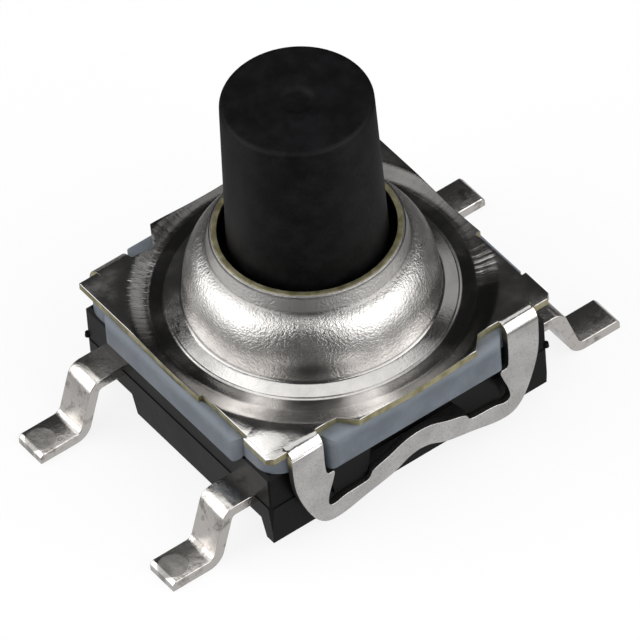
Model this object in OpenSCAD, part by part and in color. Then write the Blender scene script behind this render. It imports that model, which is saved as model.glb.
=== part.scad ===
// Sealed tactile push button switch for surface mounting, with a tall round button.
// Millimetres. Z is up, the solder feet stand on z = 0 and the button's axis is the Z axis.
// The terminals leave the body along X, and the cover's strap loops hang down the two Y faces.

/* [Footprint] */
// Length of the moulded base along the terminals
body_x = 6.2; // [5.6:0.1:7]
// Width of the moulded base across the terminals
body_y = 5.54; // [5.3:0.02:6.2]
// Distance over the tips of two opposite solder feet
lead_span = 10.04; // [9.6:0.02:11]
// Distance between the two terminals of one side
lead_pitch = 4; // [3.8:0.05:4.2]

/* [Terminals] */
// Width of a terminal
lead_w = 0.7; // [0.5:0.05:0.8]
// Thickness of the terminal sheet
lead_t = 0.22; // [0.15:0.01:0.25]
// Height of the terminal's upper face where it leaves the base
lead_top = 1.24; // [1.15:0.01:1.4]
// Flat part up to the first bend, as a share of the terminal's length outside the base
reach_share = 0.24; // [0.15:0.01:0.3]
// Slope of the terminal between its two bends, from the board
lead_slope = 72; // [60:1:85]
// Radius of the upper bend, to the middle of the sheet
bend_upper_r = 0.2; // [0.15:0.01:0.3]
// Radius of the lower bend, to the middle of the sheet
bend_lower_r = 0.26; // [0.15:0.01:0.3]
// Bevel that the shear left on the upper edge of the tip
tip_bevel = 0.07; // [0.03:0.01:0.1]
// Depth of a terminal's root inside the base, up to the buried strip
root_depth = 0.6; // [0.4:0.05:0.8]

/* [Base] */
// Gap between the board and the underside of the base
standoff = 0.15; // [0.05:0.01:0.3]
// Height of the parting line of the mould
parting_h = 1.13; // [1.05:0.01:1.2]
// Draft of the outer walls, as their set-back at the foot
wall_draft = 0.04; // [0.01:0.01:0.05]
// Bevel round the base's upper edge
rim_bevel = 0.07; // [0.03:0.01:0.1]
// Radius of the base's upright corners
base_corner_r = 0.1; // [0.05:0.01:0.2]
// Bevel round the underside of the base
foot_bevel = 0.08; // [0.04:0.01:0.12]
// Height of the roof of the recess under each terminal
recess_top = 0.68; // [0.4:0.02:0.9]
// Depth of that recess, in from the face
recess_depth = 0.7; // [0.4:0.05:0.9]
// Height of the snap lugs in the windows of the strap loops
lug_h = 0.45; // [0.3:0.05:0.5]
// Radius of the round well that holds the snap dome
well_r = 2.12; // [2.06:0.01:2.2]

/* [Snap action] */
// Travel of the button
travel = 0.35; // [0.25:0.01:0.4]
// Radius of the snap dome
dome_r = 2; // [1.9:0.01:2.04]
// Thickness of the snap dome
dome_t = 0.08; // [0.05:0.01:0.1]
// Radius of the fixed contact under the dome's middle
centre_pad_r = 0.45; // [0.3:0.05:0.6]
// Radius of the two fixed contacts under the dome's rim
rim_pad_r = 0.24; // [0.15:0.01:0.26]
// Height of the contacts above the buried terminal strip
pad_raise = 0.06; // [0.04:0.01:0.1]

/* [Seal] */
// How far the seal's side lobes stand out from the base's X faces
lobe_out_x = 0.15; // [0.05:0.01:0.2]
// How far the seal's side lobes stand out from the base's Y faces
lobe_out_y = 0.34; // [0.2:0.01:0.35]
// Length of the lobes on the X faces
lobe_len_x = 4.08; // [3:0.02:4.4]
// Gap between a lobe on a Y face and the strap legs beside it
lobe_gap = 0.09; // [0.05:0.01:0.3]
// How far the X lobes hang down over the base's upper edge
lobe_drop_x = 0.15; // [0.05:0.01:0.2]
// How far the Y lobes hang down over the base's upper edge
lobe_drop_y = 0.31; // [0.1:0.01:0.4]
// Rounding of the lobes' edges
lobe_round = 0.19; // [0.1:0.01:0.25]
// Height of the flange between base and cover
flange_t = 0.49; // [0.4:0.01:0.6]
// Radius of the flange's upright corners
seal_corner_r = 0.5; // [0.4:0.05:0.8]
// Thickness of the membrane over the well
membrane_t = 0.12; // [0.08:0.01:0.15]
// Radius of the boss that pushes the dome
boss_r = 0.95; // [0.6:0.05:1.1]

/* [Cover] */
// Thickness of the cover's sheet
sheet_t = 0.15; // [0.1:0.01:0.18]
// Overhang of the cover beyond the base's X faces
cover_over_x = 0.05; // [0:0.01:0.1]
// Gap between the strap loops and the base's Y faces
strap_gap = 0.13; // [0.1:0.01:0.2]
// Outer radius of the bends at the top of the front strap's legs
front_bend_r = 0.24; // [0.18:0.01:0.3]
// Outer radius of the bends at the top of the back strap's legs
back_bend_r = 0.38; // [0.18:0.01:0.4]
// How far the strap legs stand in from the base's X faces
leg_inset = 0.36; // [0.3:0.01:0.5]
// Width of a strap leg
leg_w = 0.69; // [0.5:0.01:0.8]
// Height of the lowest point of a strap loop
strap_low = 0.37; // [0.3:0.01:0.5]
// Depth of the round emboss in the cover's plate
emboss_d = 0.1; // [0.04:0.01:0.12]
// Radius of the emboss at its floor
emboss_r = 3; // [2.8:0.02:3]
// Width of the sloping edge round the emboss
emboss_slope = 0.2; // [0.1:0.02:0.3]
// Height of the bell's rim above the plate
bell_h = 1.58; // [1.4:0.02:2]
// Radius of the hole in the bell
hole_r = 1.61; // [1.55:0.01:1.66]
// Radius of the bell's wall, outside
bell_r = 2.31; // [2.28:0.01:2.36]

/* [Button] */
// Height of the button's top above the board
total_h = 7.35; // [5.2:0.05:10]
// Radius of the button at its top
button_top_r = 1.375; // [1.2:0.005:1.4]
// Radius of the button at the bell's rim
button_rim_r = 1.455; // [1.3:0.005:1.48]
// Rounding of the button's upper edge
button_round = 0.1; // [0.05:0.01:0.2]
// Radius of the gate dimple in the button's top
dimple_r = 0.27; // [0.1:0.01:0.4]
// Depth of the gate dimple
dimple_d = 0.05; // [0.02:0.01:0.1]

/* [Hidden] */
$fn = 72;
steps = 8;
eps = 0.01;

// Heights, each from the one below it
strip_z = lead_top - lead_t;
floor_z = lead_top + pad_raise;
dome_rise = travel + 0.03;
dome_top = floor_z + dome_rise + dome_t;
rim_z = dome_top + 0.17;
membrane_top = rim_z + membrane_t;
boss_top = membrane_top + 0.05;
plate_low = rim_z + flange_t;
plate_top = plate_low + sheet_t;
emboss_z = plate_top - emboss_d;
bell_top = plate_top + bell_h;

// Plan sizes, from the base outwards
base_hx = body_x / 2;
base_hy = body_y / 2;
lead_y = lead_pitch / 2;
seal_hx = base_hx - 0.04;
seal_hy = base_hy + 0.09;
strap_in = base_hy + strap_gap;
strap_out = strap_in + sheet_t;
plate_hx = base_hx + cover_over_x;
tongue_y = strap_out + 0.08;
leg_out = base_hx - leg_inset;
leg_in = leg_out - leg_w;
lobe_half_y = leg_in - lobe_gap;
tongue_half = 0.634 * leg_in;
slit = 0.03;
membrane_r = well_r + 0.08;

// Button sizes
draft_per_mm = (button_rim_r - button_top_r) / (total_h - bell_top);
shoulder_z = plate_top + 0.73;
stem_low_z = shoulder_z + 0.3;
stem_low_r = button_rim_r + draft_per_mm * (bell_top - stem_low_z);
flange_r = bell_r - sheet_t - 0.12;
flange_low_z = membrane_top + travel + 0.07;

// Unit vector to the right of a direction
function right_of(d) = [d[1], -d[0]] / norm(d);

// The same path, moved sideways by t, with mitred corners
function side_path(p, t) = [
    for (i = [0 : len(p) - 1])
        let (
            a = right_of(p[max(i, 1)] - p[max(i, 1) - 1]),
            j = min(i, len(p) - 2),
            b = right_of(p[j + 1] - p[j])
        )
        p[i] + t * (a + b) / (1 + a * b)
];

function reversed(p) = [for (i = [len(p) - 1 : -1 : 0]) p[i]];

// A band of sheet of thickness t to the right of a path
function band(p, t) = concat(p, reversed(side_path(p, t)));

// Points of an arc of an ellipse
function arc(c, rx, ry, a0, a1) = [
    for (i = [0 : steps])
        let (a = a0 + (a1 - a0) * i / steps)
        c + [rx * cos(a), ry * sin(a)]
];

// A smooth curve through points, for the strap's edges
function bend_between(a, b, c, d, t) = 0.5 * (2 * b + (c - a) * t
    + (2 * a - 5 * b + 4 * c - d) * t * t + (3 * b - a - 3 * c + d) * t * t * t);
function curve(p) = concat([
    for (i = [0 : len(p) - 2], k = [0 : 3])
        bend_between(p[max(i - 1, 0)], p[i], p[i + 1], p[min(i + 2, len(p) - 1)], k / 4)
], [p[len(p) - 1]]);

module mirror_copy(v) {
    children();
    mirror(v) children();
}

// A rectangle with true round corners
module round_plan(hx, hy, r) {
    square([2 * hx, 2 * (hy - r)], center = true);
    square([2 * (hx - r), 2 * hy], center = true);
    for (sx = [-1, 1], sy = [-1, 1])
        translate([sx * (hx - r), sy * (hy - r)]) circle(r);
}

// A shape drawn in X and Z, given a depth from y0 to y1
module stand_xz(y0, y1) {
    translate([0, y1, 0]) rotate([90, 0, 0]) linear_extrude(y1 - y0) children();
}

// A shape drawn in Y and Z, given a length from x0 to x1
module stand_yz(x0, x1) {
    translate([x0, 0, 0]) rotate([90, 0, 90]) linear_extrude(x1 - x0) children();
}

// Upright section of the base: bevelled foot, draft up to the parting line, bevelled rim
module drafted_section(half) {
    low = half - wall_draft;
    upper = half - 0.015;
    outline = [
        [low - foot_bevel, standoff], [low, standoff + foot_bevel],
        [half, parting_h], [upper, parting_h],
        [upper, rim_z - rim_bevel], [upper - rim_bevel, rim_z]
    ];
    polygon(concat(outline, [for (p = reversed(outline)) [-p[0], p[1]]]));
}

// Snap lug inside the strap's window: a ramp above a short upright face
module lug() {
    face = strap_in + 0.07;
    low = strap_low + 0.5;
    high = low + lug_h;
    root = 0.9 * base_hy;
    intersection() {
        stand_yz(0, leg_in)
            polygon([
                [root, low], [face, low], [face, low + 0.27 * lug_h],
                [base_hy, high], [root, high]
            ]);
        stand_xz(0, 2 * face)
            polygon([
                [0.585 * leg_in, low], [0.9 * leg_in, low],
                [0.9 * leg_in, high], [0.415 * leg_in, high]
            ]);
    }
}

// Recess under a terminal, with slanted ends
module lead_recess() {
    y0 = lead_y - 0.53;
    y1 = lead_y + 0.42;
    flare = 0.12;
    stand_yz(base_hx - recess_depth, lead_span / 2)
        polygon([
            [y0 - flare, standoff - eps], [y0, recess_top],
            [y1, recess_top], [y1 + flare, standoff - eps]
        ]);
}

module base() {
    color("#1b1b1c")
    difference() {
        union() {
            intersection() {
                stand_xz(-base_hy, base_hy) drafted_section(base_hx);
                stand_yz(-base_hx, base_hx) drafted_section(base_hy);
                linear_extrude(rim_z) round_plan(base_hx, base_hy, base_corner_r);
            }
            mirror_copy([1, 0, 0]) mirror_copy([0, 1, 0]) lug();
            // Nibs of flash that the mould left at two opposite corners
            for (s = [-1, 1])
                translate([s * (base_hx - 0.02), -s * (base_hy - 0.02), parting_h + 0.04])
                    cylinder(0.09, 0.06, 0.05);
        }
        mirror_copy([1, 0, 0]) mirror_copy([0, 1, 0]) lead_recess();
        translate([0, 0, floor_z]) cylinder(rim_z, well_r, well_r);
        centre_terminals_solid();
        rim_terminals_solid();
    }
}

// Path of the sheet's middle, from inside the base to the tip of the foot
function lead_path() =
    let (
        mid = lead_top - lead_t / 2,
        x1 = base_hx + reach_share * (lead_span / 2 - base_hx),
        drop = mid - lead_t / 2,
        turn = 1 - cos(lead_slope),
        run = (drop - (bend_upper_r + bend_lower_r) * turn) / tan(lead_slope),
        x2 = x1 + (bend_upper_r + bend_lower_r) * sin(lead_slope) + run
    )
    concat(
        [[base_hx - root_depth, mid]],
        arc([x1, mid - bend_upper_r], bend_upper_r, bend_upper_r, 90, 90 - lead_slope),
        arc([x2, lead_t / 2 + bend_lower_r], bend_lower_r, bend_lower_r, 270 - lead_slope, 270),
        [[lead_span / 2, lead_t / 2]]
    );

// One gull-wing terminal on the +X side, with the sheared bevel at its tip
module gull_wing() {
    mid = lead_path();
    upper = side_path(mid, -lead_t / 2);
    lower = side_path(mid, lead_t / 2);
    tip = lead_span / 2;
    path_end = len(upper) - 2;
    stand_xz(lead_y - lead_w / 2, lead_y + lead_w / 2)
        polygon(concat(
            [for (i = [0 : path_end]) upper[i]],
            [[tip - tip_bevel, lead_t], [tip, lead_t - tip_bevel]],
            reversed(lower)
        ));
}

// Buried strip that joins the two terminals of one row, and runs into their roots
module terminal_strip() {
    mirror_copy([1, 0, 0]) gull_wing();
    strip_half = base_hx - root_depth / 2;
    translate([-strip_half, lead_y - lead_w / 2, strip_z]) cube([2 * strip_half, lead_w, lead_t]);
}

module centre_terminals_solid() {
    arm_w = 0.5;
    terminal_strip();
    translate([-arm_w / 2, 0, strip_z]) cube([arm_w, lead_y, lead_t]);
    translate([0, 0, strip_z]) cylinder(lead_t + pad_raise, centre_pad_r, centre_pad_r);
}

module rim_terminals_solid() {
    pad_x = well_r - rim_pad_r - 0.02;
    arm_w = 0.36;
    mirror([0, 1, 0]) terminal_strip();
    for (s = [-1, 1]) {
        translate([s * pad_x - arm_w / 2, -lead_y, strip_z]) cube([arm_w, lead_y, lead_t]);
        translate([s * pad_x, 0, strip_z]) cylinder(lead_t + pad_raise, rim_pad_r, rim_pad_r);
    }
}

module centre_terminals() {
    color("#c9c7c2") centre_terminals_solid();
}

module rim_terminals() {
    color("#c9c7c2") rim_terminals_solid();
}

// Thin domed disc that snaps through when it is pushed
module snap_dome() {
    crown = [
        for (i = [0 : steps])
            let (r = dome_r * i / steps)
            [r, floor_z + dome_rise * (1 - pow(r / dome_r, 2))]
    ];
    color("#b9bcc0")
    rotate_extrude()
        polygon(concat([for (p = crown) p + [0, dome_t]], reversed(crown)));
}

// Outer face of the plate from the emboss's floor up its sloping edge to the flat rim
emboss_path = [[emboss_r, emboss_z], [emboss_r + emboss_slope, plate_top], [2 * base_hx, plate_top]];

// What the cover's underside takes up, so that the seal fills the space below it
module under_emboss() {
    face = concat([[0, emboss_z]], emboss_path);
    rotate_extrude()
        polygon(concat(side_path(face, sheet_t), [[2 * base_hx, 2 * plate_top], [0, 2 * plate_top]]));
}

// Section of a lobe that reaches from inside the flange out to a rounded outer face
module lobe_section(wall, out, drop) {
    low = rim_z - drop;
    face = wall + out;
    low_r = 0.3 * out;
    polygon(concat(
        [[wall - 0.5, rim_z], [wall + 0.01, rim_z], [wall + 0.01, low]],
        arc([face - low_r, low + low_r], low_r, low_r, 270, 360),
        arc([face - lobe_round, plate_low - lobe_round], lobe_round, lobe_round, 0, 90),
        [[wall - 0.5, plate_low]]
    ));
}

module seal() {
    lobe_r = 0.25;
    color("#7d8794") {
        difference() {
            union() {
                translate([0, 0, rim_z]) linear_extrude(flange_t) round_plan(seal_hx, seal_hy, seal_corner_r);
                intersection() {
                    mirror_copy([1, 0, 0])
                        stand_xz(-lobe_len_x / 2, lobe_len_x / 2)
                            lobe_section(base_hx, lobe_out_x, lobe_drop_x);
                    linear_extrude(plate_top) round_plan(base_hx + lobe_out_x, lobe_len_x / 2, lobe_r);
                    stand_yz(-body_x, body_x)
                        translate([0, rim_z - lobe_drop_x + 1]) round_plan(lobe_len_x / 2, 1, lobe_r);
                }
                intersection() {
                    mirror_copy([0, 1, 0])
                        stand_yz(-lobe_half_y, lobe_half_y)
                            lobe_section(base_hy, lobe_out_y, lobe_drop_y);
                    linear_extrude(plate_top) round_plan(lobe_half_y, base_hy + lobe_out_y, lobe_r);
                }
            }
            translate([0, 0, rim_z - eps]) cylinder(flange_t, membrane_r, membrane_r);
            under_emboss();
        }
        rotate_extrude()
            polygon([
                [0, dome_top], [boss_r, dome_top], [boss_r, rim_z], [membrane_r, rim_z],
                [membrane_r, membrane_top], [boss_r + 0.1, membrane_top], [boss_r, boss_top], [0, boss_top]
            ]);
    }
}

// One turned form: plunger foot, retaining flange, drafted stem, rounded top and gate dimple
module button() {
    side_top_r = button_top_r;
    color("#1d1e21")
    rotate_extrude()
        polygon(concat(
            [[0, boss_top], [boss_r, boss_top], [boss_r, flange_low_z], [flange_r, flange_low_z]],
            [[flange_r, shoulder_z], [stem_low_r, stem_low_z], [button_rim_r, bell_top]],
            arc([side_top_r - button_round, total_h - button_round], button_round, button_round, 0, 90),
            [[dimple_r + 0.06, total_h], [dimple_r, total_h - dimple_d], [0, total_h - dimple_d]]
        ));
}

// Outer face of the sheet from the bell's rim over the falling ledge at its foot to the plate
function bell_path() =
    let (
        neck_z = plate_top + 1.21,
        ellipse_z = plate_top + 0.28,
        ellipse_h = 0.93,
        ellipse_w = 0.5,
        foot_r = 0.09,
        fall = 18,
        ledge = [bell_r + 0.36, emboss_z],
        foot_z = emboss_z + (0.36 - foot_r * (1 - sin(fall))) * tan(fall) + foot_r * cos(fall)
    )
    concat(
        [[hole_r + sheet_t - 0.005, bell_top], [hole_r + sheet_t + 0.085, neck_z]],
        arc([bell_r - ellipse_w, ellipse_z], ellipse_w, ellipse_h, 78, 0),
        arc([bell_r + foot_r, foot_z], foot_r, foot_r, 180, 270 - fall),
        [ledge],
        emboss_path
    );

// One half of the plate's blank: from the middle out to the bend line of that side's strap
module half_blank(bend_r) {
    bend_y = strap_out - bend_r;
    difference() {
        union() {
            translate([-plate_hx, 0]) square([2 * plate_hx, bend_y]);
            polygon([
                [-tongue_half - 0.27, bend_y - eps], [tongue_half + 0.27, bend_y - eps],
                [tongue_half, tongue_y], [-tongue_half, tongue_y]
            ]);
        }
        mirror_copy([1, 0]) translate([leg_out, bend_y - 0.05]) square([slit, 0.1]);
    }
}

// Blank of the plate, before the strap legs are bent down
module plate_blank() {
    front_y = strap_out - 0.12;
    back_y = base_hy - 0.01;
    lug_in = leg_out + slit;
    notch_d = 0.09;
    difference() {
        union() {
            half_blank(back_bend_r);
            mirror([0, 1]) half_blank(front_bend_r);
            mirror_copy([1, 0])
                polygon([
                    [lug_in, -base_hy], [plate_hx, -base_hy], [plate_hx, -front_y + 0.1],
                    [plate_hx - 0.1, -front_y], [lug_in, -front_y]
                ]);
        }
        mirror_copy([1, 0]) {
            translate([leg_out + slit / 2, back_y]) square([1, 1]);
            translate([plate_hx - notch_d, -2.17]) square([1, 1.34]);
        }
    }
}

// Quarter bend at the top of a leg, as a ring section
module leg_bend(bend_r) {
    c = [strap_out - bend_r, plate_top - bend_r];
    stand_yz(leg_in, leg_out)
        polygon(band(arc(c, bend_r, bend_r, 90, 0), sheet_t));
}

// Wavy loop that hangs from two legs and hooks under the snap lugs
module strap_loop(bend_r) {
    top = plate_top - bend_r;
    outer_edge = curve([
        [leg_out, top], [0.982 * leg_out, strap_low + 1.18], [0.887 * leg_out, strap_low + 0.44],
        [0.781 * leg_out, strap_low + 0.06], [0.642 * leg_out, strap_low],
        [0.434 * leg_out, strap_low + 0.13], [0.226 * leg_out, strap_low + 0.26],
        [0.088 * leg_out, strap_low + 0.43], [0, strap_low + 0.475]
    ]);
    window_edge = [
        [0, strap_low + 0.93], [0.059 * leg_in, strap_low + 0.925], [0.166 * leg_in, strap_low + 0.88],
        [0.341 * leg_in, strap_low + 0.74], [0.454 * leg_in, strap_low + 0.67],
        [0.512 * leg_in, strap_low + 0.61], [0.546 * leg_in, strap_low + 0.49],
        [0.61 * leg_in, strap_low + 0.455], [0.81 * leg_in, strap_low + 0.43],
        [0.917 * leg_in, strap_low + 0.375], [0.966 * leg_in, strap_low + 0.39],
        [0.99 * leg_in, strap_low + 0.48], [0.971 * leg_in, strap_low + 0.71],
        [0.922 * leg_in, strap_low + 1], [0.907 * leg_in, strap_low + 1.19],
        [0.99 * leg_in, strap_low + 1.27], [leg_in, top]
    ];
    half = concat(outer_edge, window_edge);
    stand_xz(strap_in, strap_out) {
        polygon(half);
        mirror([1, 0]) polygon(half);
    }
}

module cover() {
    color("#d2d0ca") {
        intersection() {
            rotate_extrude() polygon(band(bell_path(), sheet_t));
            linear_extrude(bell_top + 1) plate_blank();
        }
        mirror_copy([1, 0, 0]) leg_bend(back_bend_r);
        strap_loop(back_bend_r);
        mirror([0, 1, 0]) {
            mirror_copy([1, 0, 0]) leg_bend(front_bend_r);
            strap_loop(front_bend_r);
        }
    }
}

base();
centre_terminals();
rim_terminals();
snap_dome();
seal();
button();
cover();
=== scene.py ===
# %% [markdown]
# # A tall sealed push button switch
# The part is a surface-mount switch about 10 mm long over its feet. The CAD model is loaded first
# as a fixed frame. Every finish and every finer mesh is then laid over it, in metres, in the same
# place. Sizes in this lesson are written in millimetres and turned into metres as they are used.

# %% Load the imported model
import math

import bmesh
import bpy
import numpy as np
from mathutils import Matrix, Vector
from mathutils.geometry import delaunay_2d_cdt


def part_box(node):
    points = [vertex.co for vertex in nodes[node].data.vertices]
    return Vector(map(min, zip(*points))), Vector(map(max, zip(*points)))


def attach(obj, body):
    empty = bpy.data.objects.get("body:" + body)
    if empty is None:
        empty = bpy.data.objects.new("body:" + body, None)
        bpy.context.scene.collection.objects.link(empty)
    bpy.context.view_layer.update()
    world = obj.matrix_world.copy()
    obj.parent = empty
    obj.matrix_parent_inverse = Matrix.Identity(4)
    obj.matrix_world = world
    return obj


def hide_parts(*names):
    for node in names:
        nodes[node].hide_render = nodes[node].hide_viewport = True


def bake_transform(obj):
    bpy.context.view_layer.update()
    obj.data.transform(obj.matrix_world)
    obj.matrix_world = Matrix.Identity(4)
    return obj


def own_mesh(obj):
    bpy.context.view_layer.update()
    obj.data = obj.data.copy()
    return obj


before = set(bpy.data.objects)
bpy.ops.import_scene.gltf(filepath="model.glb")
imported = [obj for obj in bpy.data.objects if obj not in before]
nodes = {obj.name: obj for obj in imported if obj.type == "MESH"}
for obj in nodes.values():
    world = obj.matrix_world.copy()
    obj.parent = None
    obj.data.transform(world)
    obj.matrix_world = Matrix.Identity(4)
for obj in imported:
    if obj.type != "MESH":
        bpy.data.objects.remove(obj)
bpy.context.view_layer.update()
scene = bpy.context.scene
MM = 0.001
print("CAD nodes:", ", ".join(sorted(nodes)))

# %% [markdown]
# ## Sizes that meshes and finishes share
# The finish of the cover paints shade into the creases and corners of its shape, so it has to know where
# they are.
# The main heights and radii of the cover are therefore named once, before either is made.

# %% Main sizes of the cover, in millimetres
SHEET_T = 0.15
BASE_HX, BASE_HY = 3.1, 2.77
PLATE_TOP, BELL_TOP = 2.57, 4.15
HOLE_R, BELL_R, LEDGE_W = 1.61, 2.31, 0.36
COLLAR_FOOT_R, COLLAR_FOOT_Z = 1.838, 3.80
EMBOSS_D = 0.10
EMBOSS_Z = PLATE_TOP - EMBOSS_D
SLOPE_IN_R, SLOPE_W = 2.93, 0.42
SLOPE_OUT_R = SLOPE_IN_R + SLOPE_W
print("plate at", PLATE_TOP, "emboss at", EMBOSS_Z, "mm")

# %% [markdown]
# ## Shader maths in plain sums
# A finish is a small program of nodes. Wiring Math nodes by hand hides what they say, so one class
# wraps a socket and lets it be added, multiplied and compared like a number. Each operator adds
# the Math node that it stands for, also with a plain number on its left, as in 1 - mask.

# %% Wires
class Wire:
    """One number or vector in a finish, which can be used in a sum."""

    def __init__(self, finish, socket):
        self.finish = finish
        self.socket = socket

    def maths(self, operation, *terms):
        return self.finish.add("ShaderNodeMath", {"operation": operation}, dict(enumerate(terms)))

    def __add__(self, other):
        return self.maths("ADD", self, other)

    def __sub__(self, other):
        return self.maths("SUBTRACT", self, other)

    def __rsub__(self, other):
        return self.maths("SUBTRACT", other, self)

    def __mul__(self, other):
        return self.maths("MULTIPLY", self, other)

    def __truediv__(self, other):
        return self.maths("DIVIDE", self, other)

    def __pow__(self, other):
        return self.maths("POWER", self, other)

    __radd__ = __add__
    __rmul__ = __mul__

    def rise(self, low, high):
        """0 below low, 1 above high, and smooth between them. With low above high it falls."""
        if low > high:
            return 1 - self.rise(high, low)
        step = {"interpolation_type": "SMOOTHSTEP"}
        return self.finish.add("ShaderNodeMapRange", step, {0: self, 1: low, 2: high})

    def larger(self, other):
        return self.maths("MAXIMUM", self, other)

    def magnitude(self):
        return self.maths("ABSOLUTE", self)

    def near(self, middle, reach):
        """1 at middle and 0 further than reach from it."""
        return (self - middle).magnitude().rise(reach, 0.0)


print("a wire can be added, subtracted, multiplied, divided and raised to a power")

# %% [markdown]
# ## One method for every other node
# Textures, mixes and light paths need other nodes than Math. A network adds any of them in one
# call. The settings go in first, because they can change which sockets a node has, and then the
# sockets get their values or wires.

# %% Network of nodes
class Network:
    """A tree of shader nodes, with one method that adds any node."""

    def __init__(self, tree):
        self.tree = tree

    def add(self, kind, settings=None, sockets=None, output=0):
        """Adds a node: its settings, then the values or wires of its sockets."""
        node = self.tree.nodes.new(kind)
        for label, value in (settings or {}).items():
            setattr(node, label, value)
        for label, value in (sockets or {}).items():
            self.plug(node.inputs[label], value)
        return Wire(self, node.outputs[output])

    def plug(self, socket, value):
        if isinstance(value, Wire):
            self.tree.links.new(value.socket, socket)
        elif hasattr(value, "__len__") and len(value) == 3 and len(socket.default_value) == 4:
            socket.default_value = (*value, 1.0)
        else:
            socket.default_value = value

    def rays(self, *kinds):
        """1 for rays of the named kinds and 0 for others."""
        outputs = self.add("ShaderNodeLightPath").socket.node.outputs
        return sum((Wire(self, outputs[f"Is {kind} Ray"]) for kind in kinds), 0.0)


print("helpers for node trees are ready")

# %% [markdown]
# ## A finish
# A finish is a network round one Principled shader, which can stand for metal, plastic and
# silicone alike. What is the same all over goes straight onto the shader's own sockets. What
# varies is read at the point's place on the part, so no piece needs an unwrapped map.

# %% Finish
class Finish(Network):
    """A material and its Principled shader, built node by node."""

    def __init__(self, name, **constants):
        self.material = bpy.data.materials.new(name)
        self.material.use_nodes = True
        super().__init__(self.material.node_tree)
        self.shader = self.tree.nodes["Principled BSDF"]
        for label, value in constants.items():
            self.shader.inputs[label.replace("_", " ")].default_value = value

    def feed(self, label, value):
        """Joins a wire to one socket of the shader."""
        self.plug(self.shader.inputs[label], value)

    def place(self):
        """The point's own place on the part, in millimetres."""
        point = self.add("ShaderNodeTexCoord", output=3)
        return self.scaled(point, 1 / MM)

    def scaled(self, vector, factor):
        return self.add("ShaderNodeVectorMath", {"operation": "SCALE"}, {0: vector, "Scale": factor})

    def stretched(self, vector, factors):
        return self.add("ShaderNodeVectorMath", {"operation": "MULTIPLY"}, {0: vector, 1: factors})

    def split(self, vector):
        """The X, Y and Z of a vector, as three wires."""
        parts = self.add("ShaderNodeSeparateXYZ", None, {0: vector})
        outputs = parts.socket.node.outputs
        return [Wire(self, outputs[i]) for i in range(3)]

    def noise(self, vector, scale, detail=3.0, rough=0.5):
        sockets = {"Vector": vector, "Scale": scale, "Detail": detail, "Roughness": rough}
        return self.add("ShaderNodeTexNoise", None, sockets)

    def mixed(self, mask, low, high):
        """A colour from low to high as the mask goes from 0 to 1."""
        return self.add("ShaderNodeMix", {"data_type": "RGBA"}, {0: mask, 6: low, 7: high}, output=2)

    def bumped(self, height, distance, strength=1.0):
        """Feeds the shader's normal with a bump of this height, in millimetres."""
        sockets = {"Height": height, "Distance": distance * MM, "Strength": strength}
        self.feed("Normal", self.add("ShaderNodeBump", None, sockets))


def grey(value, warm=0.0):
    """A grey, a little warm or cool."""
    return (value * (1 + warm), value, value * (1 - warm))


print("helpers for finishes are ready")

# %% [markdown]
# ## Bright drawn sheet
# The cover is thin plated sheet that a die has stretched into a bell. Drawing leaves streaks that
# run away from the middle and a grain like orange peel where the metal stretched most. Painting
# such streaks on an unwrapped map would need a seam, so the noise is read on a circle instead: the
# sine and cosine of the angle move it round, and only a little of the radius goes in.

# %% Parts of the cover that its finish tells apart
def spokes(finish, x, y, z, radius):
    """A vector that turns noise into streaks away from the middle."""
    sockets = {0: x / radius * 9, 1: y / radius * 9, 2: radius * 1.3 + z * 1.1}
    return finish.add("ShaderNodeCombineXYZ", None, sockets)


def cover_zones(height, radius):
    """Masks of the cover's parts, each 1 on its part and 0 off it."""
    low_edge = height.rise(EMBOSS_Z - 0.11, EMBOSS_Z - 0.05)
    plate = height.rise(PLATE_TOP + 0.04, PLATE_TOP) * low_edge * radius.rise(BELL_R - 0.01, BELL_R + 0.09)
    ring = radius.rise(BELL_R + 0.35, BELL_R + 0.39) * radius.rise(SLOPE_IN_R + 0.03, SLOPE_IN_R - 0.03)
    slope = radius.rise(SLOPE_IN_R - 0.03, SLOPE_IN_R + 0.04)
    slope = slope * radius.rise(SLOPE_OUT_R + 0.03, SLOPE_OUT_R - 0.05)
    return {
        "plate": plate,
        "ledge": radius.near(BELL_R + 0.22, 0.18) * plate,
        "ring": ring * plate,
        "slope": slope * plate,
        "bell": height.rise(PLATE_TOP + 0.01, PLATE_TOP + 0.07),
        "collar": height.rise(COLLAR_FOOT_Z - 0.04, COLLAR_FOOT_Z + 0.02),
        "rim": height.rise(BELL_TOP - 0.08, BELL_TOP - 0.03),
        "strap": height.rise(PLATE_TOP - 0.17, PLATE_TOP - 0.27),
    }


def round_the_axis(turn, spots):
    """Places round the axis, each with its angle, its reach in degrees and its strength."""
    return sum((turn.near(angle, reach) * strength for angle, reach, strength in spots), 0.0)


print("helpers for the cover's finish are ready")

# %% [markdown]
# ## Painted shade, chips and mottles
# A real cover isn't equally bright all over. The sloping edge of the emboss and the flat ring inside it
# carry painted shade, left out at a few angles where they mirror bright light, and the ledge is chipped on
# the left. Painted shade also lies in the creases at the foot and the neck of the bell, on one patch of
# its wall and on its rim, and strap and collar are mottled. All are masks on the part's own angles, radii
# and heights, and their sum darkens the metal.

# %% Where the metal is dark
# Angles, reaches and strengths where the emboss's slope and ring are kept free of painted shade, as they
# mirror bright light there. The second slope list also carries scrapes in the bump.
LIT_SLOPE = ((-150, 15, 1), (-108, 15, 1), (-129, 20, 0.35))
SCRAPED_AND_LIT_SLOPE = ((138, 30, 1), (-28, 12, 1))
LIT_RING = ((-144, 11, 1), (-108, 12, 1))
# The ledge's chips are real wear; at the other two angles painted shade lies on the bell's wall and neck.
CHIPS_AT, WALL_SHADE_AT, NECK_SHADE_AT = (160, 13), (-127, 34), (-125, 30)


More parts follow.
